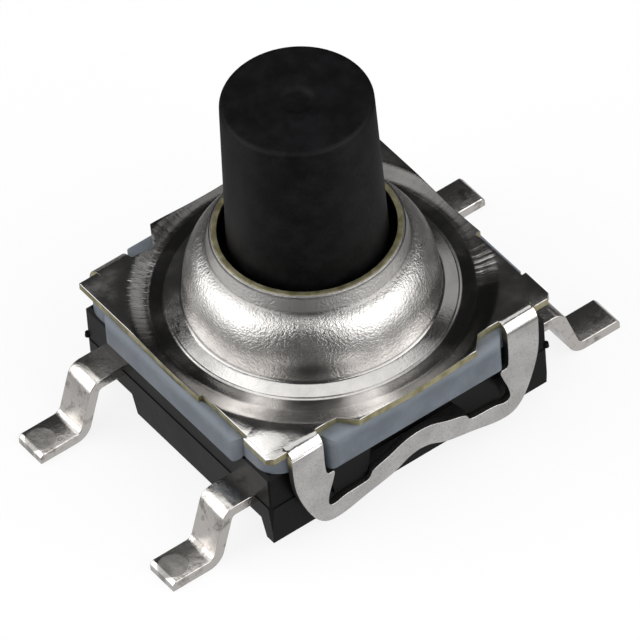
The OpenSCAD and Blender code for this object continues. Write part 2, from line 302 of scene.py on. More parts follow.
def wear_and_painted_shade(zone, turn, radius, height, chips, cloud, grain):
    """How dark the sheet is, from 0 to 1: real chips and mottles, and painted shade."""
    chipped = chips.rise(0.50, 0.58) * zone["ledge"] * turn.near(*CHIPS_AT)
    # Painted shade in the creases at the bell's foot and neck.
    foot_crease_shade = radius.near(BELL_R + 0.05, 0.035) * height.near(PLATE_TOP + 0.03, 0.05)
    neck_crease_shade = height.near(COLLAR_FOOT_Z, 0.07) * (0.65 + 0.35 * turn.near(*NECK_SHADE_AT))
    # Painted shade on the emboss's slope and ring, left out at the angles where they mirror bright light.
    bright_angles = round_the_axis(turn, LIT_SLOPE) + round_the_axis(turn, SCRAPED_AND_LIT_SLOPE)
    emboss_shade = zone["slope"] * (0.85 - bright_angles).larger(0.0)
    emboss_shade = emboss_shade + zone["ring"] * (0.7 - round_the_axis(turn, LIT_RING)).larger(0.0)
    # Painted shade on one patch of the bell's wall.
    wall_shade = height.near(PLATE_TOP + 0.29, 0.30) * turn.near(*WALL_SHADE_AT) * zone["bell"]
    mottled = 0.30 * zone["strap"] * grain.rise(0.45, 0.75) + 0.25 * zone["collar"] * cloud.rise(0.4, 0.7)
    # All painted shade: the two creases, the wall patch and the rim.
    crease_wall_rim_shade = 0.8 * foot_crease_shade + 0.8 * neck_crease_shade + 0.75 * wall_shade + 0.50 * zone["rim"]
    return (0.85 * chipped).larger(crease_wall_rim_shade + emboss_shade + mottled)


# Places where the slope is kept free of painted shade.
print("rubbed places on the slope:", len(LIT_SLOPE) + len(SCRAPED_AND_LIT_SLOPE))

# %% [markdown]
# ## The two metals of the cover
# The drawn faces take the bright finish. Its bump adds up what the die left: streaks, grain, soft
# waves of the plate, a crease at the ledge's outer edge, and the near corner that was pressed down
# a little. The cut edges show the brass-coloured core of the sheet, which plating doesn't reach.

# %% The cover's two finishes
def drawn_sheet():
    """Bright plated metal with the marks that the die left, chips, mottles and painted shade."""
    finish = Finish("drawn_sheet", Metallic=1.0)
    point = finish.place()
    x, y, height = finish.split(point)
    radius = (x * x + y * y) ** 0.5
    turn = y.maths("ARCTAN2", y, x) * (180 / math.pi)
    zone = cover_zones(height, radius)
    spoke = spokes(finish, x, y, height, radius)
    fine = finish.noise(spoke, 2.6, 4.0, 0.6)
    long_marks = finish.noise(finish.stretched(spoke, (3.0, 3.0, 0.35)), 1.0, 3.0, 0.6)
    cloud = finish.noise(point, 1.3, 4.0, 0.55)
    grain = finish.noise(point, 21.0, 3.0, 0.6)
    chips = finish.noise(finish.stretched(point, (7.0, 7.0, 30.0)), 1.0, 3.0, 0.7)
    tone = finish.mixed(cloud.rise(0.35, 0.7), grey(0.60, 0.03), grey(0.78, 0.025))
    # Real chips and mottles, together with painted shade in creases, on the rim, on one patch of the wall
    # and on the emboss.
    dark = wear_and_painted_shade(zone, turn, radius, height, chips, cloud, grain)
    finish.feed("Base Color", finish.mixed(dark, tone, grey(0.07, 0.05)))
    rough = 0.14 + (0.06 + 0.10 * grain) * zone["bell"] + 0.12 * cloud.rise(0.45, 0.75) * zone["plate"]
    rough = rough + 0.10 * zone["collar"] + 0.12 * zone["rim"] + 0.14 * zone["strap"]
    finish.feed("Roughness", rough + 0.10 * zone["slope"] * long_marks)
    corner = turn.near(-139, 22) * zone["plate"]
    sag = radius.rise(3.2, 4.4) * corner * -11.0
    wavy = 0.6 + 2.0 * corner * radius.rise(3.2, 3.6)
    waves = finish.noise(point, 1.4, 2.0, 0.4) * zone["plate"] * wavy
    crease = radius.near(BELL_R + 0.335, 0.035) * 0.4 * zone["plate"]
    scrapes = long_marks * zone["slope"] * (0.3 + 1.2 * round_the_axis(turn, SCRAPED_AND_LIT_SLOPE))
    streaks = fine * (0.06 + 0.22 * zone["bell"])
    finish.bumped(streaks + scrapes + grain * (0.16 + 0.95 * zone["bell"]) + waves + crease + sag, 0.012)
    return finish.material


def cut_edge():
    """The brass-coloured core of the sheet, with painted shade where the strap's edge lies low beside the
    black base.
    """
    finish = Finish("cut_edge", Metallic=1.0)
    point = finish.place()
    height = finish.split(point)[2]
    cloud = finish.noise(point, 5.0, 3.0)
    brass = finish.mixed(cloud.rise(0.35, 0.65), (0.34, 0.31, 0.17), (0.54, 0.50, 0.32))
    # Painted shade: the cut edge turns dark grey below 2.3 mm, where the strap's edge sits against the
    # black base.
    finish.feed("Base Color", finish.mixed(height.rise(2.30, 2.10), brass, grey(0.10, 0.03)))
    finish.feed("Roughness", 0.38 + 0.15 * cloud)
    finish.bumped(finish.noise(point, 40.0, 2.0), 0.004)
    return finish.material


SHEET = drawn_sheet()
EDGE = cut_edge()
print("made", SHEET.name, "and", EDGE.name)

# %% [markdown]
# ## Tinned terminals
# The terminals are brass strip with a satin coat of tin. Tin stains in soft clouds and keeps fine
# marks along the strip from rolling. The two feet on the left also carry a round worn spot, where
# a test probe pressed on them. The spot is a distance in X and Y, so one rule serves both feet.

# %% Tin with two worn spots
SPOT_X, SPOT_R, LEAD_Y = 4.76, 0.30, 2.0


def tinned():
    """Satin tin with a worn round spot on each left-hand foot."""
    finish = Finish("tinned_brass_satin", Metallic=1.0)
    point = finish.place()
    x, y, z = finish.split(point)
    cloud = finish.noise(point, 3.0, 5.0, 0.65)
    grain = finish.noise(finish.stretched(point, (20.0, 60.0, 20.0)), 1.0, 3.0, 0.6)
    from_spot = ((x.magnitude() - SPOT_X) ** 2 + (y.magnitude() - LEAD_Y) ** 2) ** 0.5
    spot = from_spot.rise(SPOT_R, SPOT_R - 0.04) * z.rise(0.30, 0.24) * x.rise(0.0, -1.0)
    stain = cloud.rise(0.52, 0.68)
    tone = finish.mixed(stain, grey(0.70, 0.045), grey(0.36, 0.07))
    worn = finish.mixed(cloud.rise(0.3, 0.6), grey(0.26, 0.04), grey(0.44, 0.04))
    finish.feed("Base Color", finish.mixed(spot, tone, worn))
    finish.feed("Roughness", 0.12 + 0.10 * cloud + 0.06 * grain + 0.30 * spot)
    marks = finish.noise(point, 7.0, 4.0, 0.6) * (0.8 + 0.8 * spot)
    finish.bumped(grain * 0.35 + marks, 0.008)
    return finish.material


TIN = tinned()
print("made", TIN.name)

# %% [markdown]
# ## Two black plastics
# The base is a glossy moulding with faint flow clouds, and the button a drier black that fingers
# and dust have dulled. Both are nearly black, so it is their gloss that tells them apart. Clouds
# and grain in the roughness break up the reflections, because one flat value reads as paint.

# %% Black plastics
def black_base():
    finish = Finish("black_base_plastic", Specular_IOR_Level=0.10)
    point = finish.place()
    cloud = finish.noise(point, 1.8, 4.0, 0.6)
    grain = finish.noise(point, 22.0, 3.0, 0.6)
    finish.feed("Base Color", finish.mixed(cloud, grey(0.002, 0.04), grey(0.005, 0.04)))
    finish.feed("Roughness", 0.24 + 0.16 * cloud + 0.08 * grain)
    finish.bumped(grain * 0.4 + cloud * 0.8, 0.006)
    return finish.material


def black_button():
    finish = Finish("black_button_plastic", Specular_IOR_Level=0.16)
    point = finish.place()
    cloud = finish.noise(point, 2.4, 5.0, 0.65)
    grain = finish.noise(point, 30.0, 3.0, 0.6)
    tone = finish.mixed(cloud.rise(0.35, 0.7), (0.0010, 0.0010, 0.0014), (0.0050, 0.0050, 0.0060))
    finish.feed("Base Color", tone)
    finish.feed("Roughness", 0.44 + 0.14 * cloud + 0.06 * grain)
    finish.bumped(grain * 0.6 + cloud * 0.6, 0.008)
    return finish.material


BASE_BLACK, BUTTON_BLACK = black_base(), black_button()
print("made", BASE_BLACK.name, "and", BUTTON_BLACK.name)

# %% [markdown]
# ## Silicone and spring steel
# The seal is blue-grey silicone, with a painted highlight along the upper edge of its lobes, where they
# stand out under the cover's edge.
# The snap dome is rolled spring steel with marks along the rolling direction. It is hidden inside,
# and still gets a true finish for whoever takes the part apart.

# %% Silicone and steel
def silicone():
    finish = Finish("blue_grey_silicone", Specular_IOR_Level=0.4)
    point = finish.place()
    cloud = finish.noise(point, 2.0, 4.0, 0.6)
    grain = finish.noise(point, 34.0, 2.0, 0.5)
    height = finish.split(point)[2]
    # Paler in clouds, with a painted highlight along the upper edge of the lobes.
    mask = (0.75 * cloud + 0.25 * height.near(2.33, 0.16)).rise(0.25, 0.65)
    finish.feed("Base Color", finish.mixed(mask, (0.092, 0.106, 0.126), (0.142, 0.160, 0.184)))
    finish.feed("Roughness", 0.36 + 0.16 * cloud)
    finish.bumped(grain * 0.5 + cloud * 0.4, 0.006)
    return finish.material


def sprung_steel():
    finish = Finish("sprung_steel", Metallic=1.0)
    point = finish.place()
    grain = finish.noise(finish.stretched(point, (3.0, 50.0, 3.0)), 1.0, 3.0)
    finish.feed("Base Color", finish.mixed(grain, grey(0.50), grey(0.66)))
    finish.feed("Roughness", 0.22 + 0.14 * grain)
    return finish.material


SILICONE, STEEL = silicone(), sprung_steel()
print("made", SILICONE.name, "and", STEEL.name)

# %% [markdown]
# ## Painting the CAD pieces
# Every CAD piece gets its finish through its own material slots, also those that finer meshes will
# stand for. So the CAD model can be looked at by itself in the same materials.

# %% Finishes into slots
FINISHES = {
    "base": BASE_BLACK, "centre_terminals": TIN, "rim_terminals": TIN, "seal": SILICONE,
    "snap_dome": STEEL, "button": BUTTON_BLACK, "cover": SHEET,
}
for name, material in FINISHES.items():
    for holder in nodes[name].material_slots:
        holder.material = material
print("painted", len(FINISHES), "CAD nodes")

# %% [markdown]
# ## The section of the drawn bell
# The cover's round part is one line of sheet turned about the button's axis: rim, collar, rounded
# shoulder, wall, falling ledge, flat ring and the sloping edge of the emboss. It follows the CAD,
# with a softer slope and a finer foot. Written as arcs and points, each part can be set by itself.

# %% Profile of the sheet's outer face
SHOULDER_W, SHOULDER_H = 0.5, 0.945
LEDGE_FALL, FOOT_R = 18, 0.04
PLATE_REACH = 3.9
POINT_GAP, OUTER_PART = 0.01, 1.4


def arc(centre, across, up, start, end, steps=24):
    """Points of an arc of an ellipse, as radius and height."""
    turns = [math.radians(start + (end - start) * i / steps) for i in range(steps + 1)]
    return [(centre[0] + across * math.cos(t), centre[1] + up * math.sin(t)) for t in turns]


def bell_line():
    """Outer face of the sheet from the rim out to the plate, as radius and height."""
    ledge_z = EMBOSS_Z + 0.30 * math.tan(math.radians(LEDGE_FALL))
    foot_at = (BELL_R + 0.07, ledge_z + FOOT_R)
    collar = [(HOLE_R + SHEET_T - 0.005, BELL_TOP), (COLLAR_FOOT_R, COLLAR_FOOT_Z)]
    shoulder = arc((BELL_R - SHOULDER_W, PLATE_TOP + 0.26), SHOULDER_W, SHOULDER_H, 76, 14)
    foot = [(BELL_R + 0.03, ledge_z + FOOT_R)] + arc(foot_at, FOOT_R, FOOT_R, 190, 252)
    floor = [(BELL_R + LEDGE_W, EMBOSS_Z), (SLOPE_IN_R, EMBOSS_Z)]
    steps = [k / 16 for k in range(17)]
    slope = [(SLOPE_IN_R + SLOPE_W * t, EMBOSS_Z + EMBOSS_D * t * t * (3 - 2 * t)) for t in steps]
    return collar + shoulder + foot + floor + slope + [(PLATE_REACH, PLATE_TOP)]


print("corners and arcs of the bell line:", len(bell_line()), "points")

# %% [markdown]
# ## Rounding the line
# The line above still has corners. It could be rounded by hand with an arc at each, but a moving
# average along its length does the same everywhere at once, as stretched metal does. The under
# side is the same line moved by the sheet's thickness, square to it.

# %% Smooth line and its under side
def evenly(line, gap):
    """The same line with points a gap apart."""
    line = np.array(line, float)
    along = np.concatenate([[0], np.cumsum(np.linalg.norm(np.diff(line, axis=0), axis=1))])
    at = np.linspace(0, along[-1], int(along[-1] / gap) + 1)
    return np.column_stack([np.interp(at, along, line[:, k]) for k in range(line.shape[1])])


def softened(line, reach, gap):
    """The line with its corners rounded over a short reach. Its ends stay where they are."""
    fine = evenly(line, gap)
    span = int(3 * reach / gap)
    weight = np.exp(-0.5 * (np.arange(-span, span + 1) * gap / reach) ** 2)
    weight /= weight.sum()
    before = 2 * fine[0] - fine[span:0:-1]
    after = 2 * fine[-1] - fine[-2:-span - 2:-1]
    padded = np.vstack([before, fine, after])
    return np.column_stack([np.convolve(padded[:, k], weight, "valid") for k in range(2)])


def level_at(line, radius):
    """Height of a bell line at a radius, read on its outer part, where each radius occurs once."""
    outer = line[-round(OUTER_PART / POINT_GAP):]
    return np.interp(radius, outer[:, 0], outer[:, 1])


BELL = softened(bell_line(), 0.02, POINT_GAP)
onward = np.gradient(BELL, axis=0)
onward /= np.linalg.norm(onward, axis=1)[:, None]
OUTWARD = np.column_stack([-onward[:, 1], onward[:, 0]])
BELL_UNDER = BELL - SHEET_T * OUTWARD
print("bell line:", len(BELL), "points, from", BELL[0].round(3), "to", BELL[-1].round(3), "mm")

# %% [markdown]
# ## One blank, cut, drawn and bent
# The real cover is stamped from one flat blank: the plate, two tongues and two strap loops lie in
# one plane before they are bent. The mesh is made the same way. The blank's outline is filled with
# triangles in the flat, and one function then says where a point of the blank ends up: on the
# emboss, round a quarter bend or down a side. So the finish runs over the bends without a seam.

# %% Sizes of the blank
STRAP_OUT = BASE_HY + 0.13 + SHEET_T
LEG_OUT, LEG_IN, STRAP_LOW = 2.74, 2.05, 0.37
PLATE_HX = BASE_HX + 0.05
TONGUE_Y, TONGUE_HALF = STRAP_OUT + 0.08, 1.3
BEND_R = {1: 0.38, -1: 0.24}
SLIT_W = 0.012
NOTCH_IN, NOTCH_OUT, NOTCH_DEPTH = 0.83, 2.17, 0.09
LUG_BACK, LUG_CORNER = 0.12, 0.1
STRAP_OUTER = (
    (0.982, 1.18), (0.887, 0.44), (0.781, 0.06), (0.642, 0.0), (0.434, 0.13), (0.226, 0.26),
    (0.088, 0.43), (0.0, 0.475))
STRAP_WINDOW = (
    (0.99, 1.27), (0.907, 1.19), (0.922, 1.0), (0.971, 0.71), (0.99, 0.48), (0.966, 0.39),
    (0.917, 0.375), (0.81, 0.43), (0.61, 0.455), (0.546, 0.49), (0.512, 0.61), (0.454, 0.67),
    (0.341, 0.74), (0.166, 0.88), (0.059, 0.925), (0.0, 0.93))


print("strap reaches", round(STRAP_OUT, 2), "mm out and down to", STRAP_LOW, "mm")

# %% [markdown]
# ## The strap loops
# A strap loop leaves the plate at two legs and dips between them in a wave, so that it can spring
# over the base's lug. Its two edges were read from the photograph at a few places. A smooth curve
# through them needs far fewer numbers than an outline of many short lines.

# %% Edges of a strap loop
def curve(points):
    """A smooth curve through points, four steps to a span."""
    out = []
    for i in range(len(points) - 1):
        a, b, c, d = (np.array(points[min(max(j, 0), len(points) - 1)]) for j in (i - 1, i, i + 1, i + 2))
        for k in range(4):
            t = k / 4
            out.append(0.5 * (2 * b + (c - a) * t + (2 * a - 5 * b + 4 * c - d) * t ** 2
                              + (3 * b - a - 3 * c + d) * t ** 3))
    return [tuple(p) for p in out] + [points[-1]]


def strap_line(reach, top, places):
    """One edge of a strap. Places are shares of its reach and heights over its lowest point."""
    return curve([(reach, top)] + [(reach * share, STRAP_LOW + rise) for share, rise in places])


def strap_edges(side):
    """Outer and window edge of a strap loop for x above 0, unfolded into the blank's plane."""
    top = PLATE_TOP - BEND_R[side]
    bend = STRAP_OUT - BEND_R[side]
    down = bend + BEND_R[side] * math.pi / 2

    def unfold(line):
        return [(x, down + top - z) for x, z in line]

    outer = strap_line(LEG_OUT, top, STRAP_OUTER)
    window = strap_line(LEG_IN, top, STRAP_WINDOW)
    return unfold(outer), unfold(window), bend


print("a strap edge:", len(STRAP_OUTER) + 1, "places,", len(strap_edges(-1)[0]), "points")

# %% [markdown]
# ## Corners, slits and windows
# At the front the plate has notches and corner lugs, and at the back it is plain. A thin slit
# separates each lug from the leg beside it, because the leg bends down and the lug stays flat.
# The window between the legs leaves a tongue. Both sides mirror in X, so half of each is written.

# %% Outline of one side
def both_halves(half, side):
    """The half outline from the +X side to the middle, and its mirror image, on the side's Y."""
    full = half + [(-x, y) for x, y in reversed(half[:-1])]
    return [(x, side * y) for x, y in full]


def side_outline(side):
    """Outline of one side of the blank, and its window."""
    outer, window, bend = strap_edges(side)
    slit_x = LEG_OUT + SLIT_W
    slit = [(slit_x, bend), (LEG_OUT, bend)]
    if side > 0:
        corner = [(PLATE_HX, 0.0), (PLATE_HX, BASE_HY - 0.01), (slit_x, BASE_HY - 0.01)]
    else:
        lug = STRAP_OUT - LUG_BACK
        notch = PLATE_HX - NOTCH_DEPTH
        corner = [(PLATE_HX, NOTCH_IN), (notch, NOTCH_IN), (notch, NOTCH_OUT), (PLATE_HX, NOTCH_OUT)]
        corner += [(PLATE_HX, lug - LUG_CORNER), (PLATE_HX - LUG_CORNER, lug), (slit_x, lug)]
    tongue = [(0.0, TONGUE_Y), (TONGUE_HALF, TONGUE_Y), (TONGUE_HALF + 0.27, bend), (LEG_IN - 0.03, bend)]
    hole = tongue + [(LEG_IN, bend + 0.02)] + window[1:]
    hole = [(x, side * y) for x, y in hole] + [(-x, side * y) for x, y in reversed(hole[1:-1])]
    return both_halves(corner + slit + outer, side), hole


print("half of the front side:", len(side_outline(-1)[0]) // 2 + 1, "points")

# %% [markdown]
# ## Loops that a mesh can use
# The mesh needs points at even gaps along the outline, and at each point the direction into the
# sheet, along which the die roll will lie. At a corner that direction is mitred, so that the roll
# keeps its width.

# %% Even loops and their inward steps
def sampled(loop, gap):
    """A closed loop with no edge longer than the gap and its corners kept."""
    out = []
    for a, b in zip(loop, loop[1:] + loop[:1]):
        a, b = np.array(a), np.array(b)
        count = max(1, int(math.ceil(np.linalg.norm(b - a) / gap)))
        out += [a + (b - a) * k / count for k in range(count)]
    keep = [p for p, q in zip(out, out[1:] + out[:1]) if np.linalg.norm(p - q) > 0.004]
    return np.array(keep)


def signed_area(loop):
    x, y = loop[:, 0], loop[:, 1]
    return 0.5 * np.sum(x * np.roll(y, -1) - y * np.roll(x, -1))


def inward(loop, is_hole):
    """For each point of a loop, the mitred step of one unit into the sheet."""
    edge = np.roll(loop, -1, axis=0) - loop
    edge /= np.linalg.norm(edge, axis=1)[:, None]
    normal = np.column_stack([-edge[:, 1], edge[:, 0]])
    if (signed_area(loop) < 0) != is_hole:
        normal = -normal
    before = np.roll(normal, 1, axis=0)
    return (before + normal) / (1 + np.clip(np.sum(before * normal, axis=1), -0.5, 1))[:, None]


back_line, back_hole = side_outline(1)
front_line, front_hole = side_outline(-1)
OUTLINE = sampled(back_line + list(reversed(front_line)), 0.04)
WINDOWS = [sampled(back_hole, 0.04), sampled(front_hole, 0.04)]
print("blank outline:", len(OUTLINE), "points, area", round(abs(signed_area(OUTLINE)), 2), "mm2")

# %% [markdown]
# ## Filling the blank
# A constrained triangulation keeps the outline's own edges and lets extra points be dropped in
# where the sheet will curve: rings over the emboss's slope and rows across each bend. A plain grid
# would cut across the outline, and large triangles would show as facets in the bends.

# %% Guide points for the curved places
INNER_R = 2.9
TURNS = 256
CIRCLE = 2 * np.pi * np.arange(TURNS) / TURNS


def inside(points, loop):
    """Which points lie inside a closed loop."""
    x, y = points[:, 0][:, None], points[:, 1][:, None]
    ax, ay = loop[:, 0][None], loop[:, 1][None]
    bx, by = np.roll(loop, -1, axis=0)[:, 0][None], np.roll(loop, -1, axis=0)[:, 1][None]
    crosses = ((ay > y) != (by > y)) & (x < (bx - ax) * (y - ay) / np.where(by == ay, 1e-12, by - ay) + ax)
    return crosses.sum(axis=1) % 2 == 1


def away_from(points, loop, gap):
    """Which points are further than the gap from every point of a loop."""
    near = np.full(len(points), 1e9)
    for q in loop:
        near = np.minimum(near, np.hypot(points[:, 0] - q[0], points[:, 1] - q[1]))
    return near > gap


def guide_points():
    """Extra points where the sheet curves."""
    found = []
    for r in SLOPE_IN_R + 0.03 * np.arange(15):
        found.append(np.column_stack([r * np.cos(CIRCLE), r * np.sin(CIRCLE)]))
    for side, bend_r in BEND_R.items():
        rows = STRAP_OUT - bend_r + bend_r * np.pi / 2 * np.arange(-1, 18) / 16
        columns = np.arange(LEG_IN + 0.05, LEG_OUT, 0.06)
        for flip in (-1, 1):
            found += [np.column_stack([flip * columns, np.full(len(columns), side * y)]) for y in rows]
    return np.vstack(found)


print("guide points:", len(guide_points()))

# %% [markdown]
# ## Folding the blank
# Bending keeps the length of the sheet's outer face here, so a point past the bend line first goes
# round a quarter circle and then straight down. Points at a depth below the outer face go round a
# smaller circle. The tongues and the corner lugs stay in the plane of the plate.

# %% Where points of the blank end up
def folded(points, depth):
    """Where points of the blank end up, at a depth below its outer face."""
    x, y = points[:, 0], points[:, 1]
    radius = np.hypot(x, y)
    upper, lower = level_at(BELL, radius), level_at(BELL_UNDER, radius)
    out = np.column_stack([x, y, upper + (lower - upper) * depth / SHEET_T])
    side = np.where(y > 0, 1, -1)
    bend_r = np.where(y > 0, BEND_R[1], BEND_R[-1])
    past = np.abs(y) - (STRAP_OUT - bend_r)
    tongue = (np.abs(x) < TONGUE_HALF + 0.3) & (np.abs(y) < TONGUE_Y + 0.05)
    lug = np.abs(x) > LEG_OUT + 0.006
    bent = (past > 0) & ~tongue & ~lug
    turn = np.clip(past / bend_r, 0, np.pi / 2)
    straight = np.maximum(past - bend_r * np.pi / 2, 0)
    across = STRAP_OUT - bend_r + (bend_r - depth) * np.sin(turn)
    height = PLATE_TOP - bend_r + (bend_r - depth) * np.cos(turn) - straight
    out[bent, 1] = (side * across)[bent]
    out[bent, 2] = height[bent]
    return out


past_bend = np.array([[LEG_IN, STRAP_OUT - BEND_R[1] + 1.0]])
print("1 mm past the bend line ends up at", folded(past_bend, 0.0)[0].round(2), "mm")

# %% [markdown]
# ## Triangles and die roll
# Stamping rounds the edge of a sheet on the side that the punch meets. That die roll is small all
# round, larger at the near lug, which was pressed down, and tiny inside the slits, where a larger
# one would meet its neighbour.

# %% Fill between loops, and size of the roll
ROLL, LUG_ROLL, SLIT_ROLL = 0.010, 0.06, 0.003
RIM_ROLL = 0.06


def fill(loops, holes, guides):
    """Triangles between closed loops, with guide points dropped in."""
    every = loops + holes
    points = np.vstack(every + [guides])
    edges, start = [], 0
    for loop in every:
        count = len(loop)
        edges += [(start + i, start + (i + 1) % count) for i in range(count)]
        start += count
    verts, _, faces, _, _, _ = delaunay_2d_cdt([Vector(p) for p in points], edges, [], 0, 1e-7)
    flat = np.array([tuple(v) for v in verts])
    faces = np.array(faces)
    middle = flat[faces].mean(axis=1)
    keep = np.any([inside(middle, loop) for loop in loops], axis=0)
    for hole in holes:
        keep &= ~inside(middle, hole)
    return flat, faces[keep]


def roll_of(loop):
    """The die roll at each point of a loop. It is larger where the near lug was pressed down."""
    x, y = loop[:, 0], loop[:, 1]
    pressed = (x < -PLATE_HX + 0.05) & (y < -NOTCH_OUT - 0.03)
    in_slit = (np.abs(np.abs(x) - LEG_OUT) < 0.03) & (np.abs(y) < STRAP_OUT - 0.05)
    return np.where(pressed, LUG_ROLL, np.where(in_slit, SLIT_ROLL, ROLL))[:, None]


print("die roll", ROLL, "mm, at the pressed lug", LUG_ROLL, "mm")

# %% [markdown]
# ## Stitching the cover together
# The filled blank gives an upper and a lower skin. Rows of faces round every loop close the gap
# between them: three rows for the die roll, in the bright metal, and then the cut face. Made this
# way, the sheet is closed and has its true thickness wherever it is seen edge on.

# %% Skins and edges
def lay(mesh, points, depth):
    """Vertices at folded points of the blank."""
    return [mesh.verts.new(Vector(p) * MM) for p in folded(points, depth)]


def add_skins(mesh, loops):
    """The upper and the lower skin of the blank, as far as the die roll."""
    ring = np.column_stack([INNER_R * np.cos(CIRCLE), INNER_R * np.sin(CIRCLE)])
    inset = [loop + roll_of(loop) * step for loop, step in loops]
    guides = guide_points()
    good = inside(guides, inset[0])
    for hole in inset[1:]:
        good &= ~inside(guides, hole)
    guides = guides[good]
    for loop in inset:
        guides = guides[away_from(guides, loop, 0.012)]
    flat, faces = fill([inset[0]], inset[1:] + [ring], guides)
    for depth, order in ((0.0, 1), (SHEET_T, -1)):
        verts = lay(mesh, flat, depth)
        for face in faces:
            mesh.faces.new([verts[i] for i in face[::order]])


def add_edges(mesh, loops):
    """The edge of the sheet round each loop: a die roll of three rows, then the cut face."""
    steps = [(1.0, 0.0), (0.45, 0.12), (0.12, 0.45), (0.0, 1.0)]
    for loop, step in loops:
        order = 1 if signed_area(loop) > 0 else -1
        if loop is not OUTLINE:
            order = -order
        roll = roll_of(loop)
        rows = [lay(mesh, loop + roll * a * step, roll[:, 0] * b) for a, b in steps]
        rows += [lay(mesh, loop, SHEET_T - 0.3 * ROLL), lay(mesh, loop + roll * step, SHEET_T)]
        for k, (upper, lower) in enumerate(zip(rows, rows[1:])):
            for i in range(len(loop)):
                j = (i + 1) % len(loop)
                quad = [upper[i], lower[i], lower[j], upper[j]]
                face = mesh.faces.new(quad[::order])
                face.material_index = 1 if k >= 3 else 0


print("helpers for skins and edges are ready")

# %% [markdown]
# ## The bell
# The round part is drawn and not bent, and rings follow its streaks and highlights better than
# triangles do. It is turned from the smooth line and meets the blank on one circle, where both
# have the same number of points. The rim of the collar is cut, so it shows the brass core.

# %% Rings of the bell
LINE_STEP, CUT_ROWS = 3, 4


def rim_line(low, high):
    """The rounded top of the collar, from its inner point low to its outer point high."""
    rounding = ((0.6, 0.08), (0.29, 0.29), (0.08, 0.6), (0.0, 1.0))
    rim = [(low[0], low[1] - ROLL), (low[0] + 0.3 * ROLL, low[1] - 0.3 * ROLL)]
    rim += [(low[0] + ROLL, BELL_TOP), (high[0] - RIM_ROLL, BELL_TOP)]
    return rim + [(high[0] - RIM_ROLL * a, high[1] - RIM_ROLL * b) for a, b in rounding]


def add_bell(mesh):
    """The bell, turned in rings from the blank's circle underneath, over the rim and down again."""
    turned = BELL[BELL[:, 0] <= INNER_R][::LINE_STEP]
    facing = OUTWARD[BELL[:, 0] <= INNER_R][::LINE_STEP]
    level = level_at(BELL, INNER_R)
    outer = [tuple(p) for p in turned] + [(INNER_R, level)]
    under = [tuple(p - SHEET_T * n) for p, n in zip(turned, facing)] + [(INNER_R, level - SHEET_T)]
    section = under[:0:-1] + rim_line(under[0], outer[0]) + outer[1:]
    spun = [[mesh.verts.new((r * math.cos(a) * MM, r * math.sin(a) * MM, z * MM)) for a in CIRCLE]
            for r, z in section]
    first_rim = len(under) - 1
    for k, (lower, upper) in enumerate(zip(spun, spun[1:])):
        for i in range(TURNS):
            j = (i + 1) % TURNS
            face = mesh.faces.new([lower[i], upper[i], upper[j], lower[j]])
            face.material_index = 1 if first_rim <= k < first_rim + CUT_ROWS else 0


print("helpers for the bell are ready")

# %% [markdown]
# ## The cover as one piece
# Blank, edges and bell go into one mesh and are joined where they meet. It then stands for the CAD
# cover: it rides on the same body, and the CAD shape underneath is hidden. Shading is smooth
# except where faces turn sharply, as at the cut edges.

# %% Make the cover
def sheet_mesh():
    """The whole cover: blank filled and folded, its edges closed, and the bell."""
    mesh = bmesh.new()
    loops = [(OUTLINE, inward(OUTLINE, False))] + [(w, inward(w, True)) for w in WINDOWS]
    add_skins(mesh, loops)
    add_edges(mesh, loops)
    add_bell(mesh)
    bmesh.ops.remove_doubles(mesh, verts=mesh.verts, dist=0.0005 * MM)
    bmesh.ops.recalc_face_normals(mesh, faces=mesh.faces)
    return mesh


def finished_piece(name, mesh, materials, body, sharp=38):
    """A bmesh as a piece with soft shading between faces that turn less than the sharp angle."""
    data = bpy.data.meshes.new(name)
    mesh.to_mesh(data)
    mesh.free()
    for material in materials:
        data.materials.append(material)
    data.polygons.foreach_set("use_smooth", [True] * len(data.polygons))
    data.set_sharp_from_angle(angle=math.radians(sharp))
    piece = bpy.data.objects.new(name, data)
    scene.collection.objects.link(piece)
    weighted = piece.modifiers.new("weighted_normals", "WEIGHTED_NORMAL")
    weighted.keep_sharp = True
    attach(piece, body)
    places = np.array([v.co for v in data.vertices]) / MM
    low, high = places.min(0).round(2), places.max(0).round(2)
    print(f"{name}: {len(data.polygons)} faces, {low} to {high} mm")
    return piece


cover_sheet = finished_piece("cover_sheet", sheet_mesh(), [SHEET, EDGE], "housing")
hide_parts("cover")

# %% [markdown]
# ## The button
# The button is moulded with a slight draft and a rounded top edge, and the gate left a dimple in
# its middle. It is turned from one profile, with the edge's rounding in many small steps so that
# its highlight doesn't break up. The last numbers are radii of the top face and depths below it.

# %% Turn the button
def turned_mesh(profile, turns=160):
    """A closed section turned about the Z axis. The first and last points lie on the axis."""
    mesh = bmesh.new()
    ends = [mesh.verts.new((0, 0, profile[0][1] * MM)), mesh.verts.new((0, 0, profile[-1][1] * MM))]
    angles = [2 * math.pi * i / turns for i in range(turns)]
    rings = [[mesh.verts.new((r * math.cos(a) * MM, r * math.sin(a) * MM, z * MM)) for a in angles]
             for r, z in profile[1:-1]]
    for i in range(turns):
        j = (i + 1) % turns
        mesh.faces.new([ends[0], rings[0][j], rings[0][i]])
        mesh.faces.new([ends[1], rings[-1][i], rings[-1][j]])
        for lower, upper in zip(rings, rings[1:]):
            mesh.faces.new([lower[i], lower[j], upper[j], upper[i]])
    return mesh


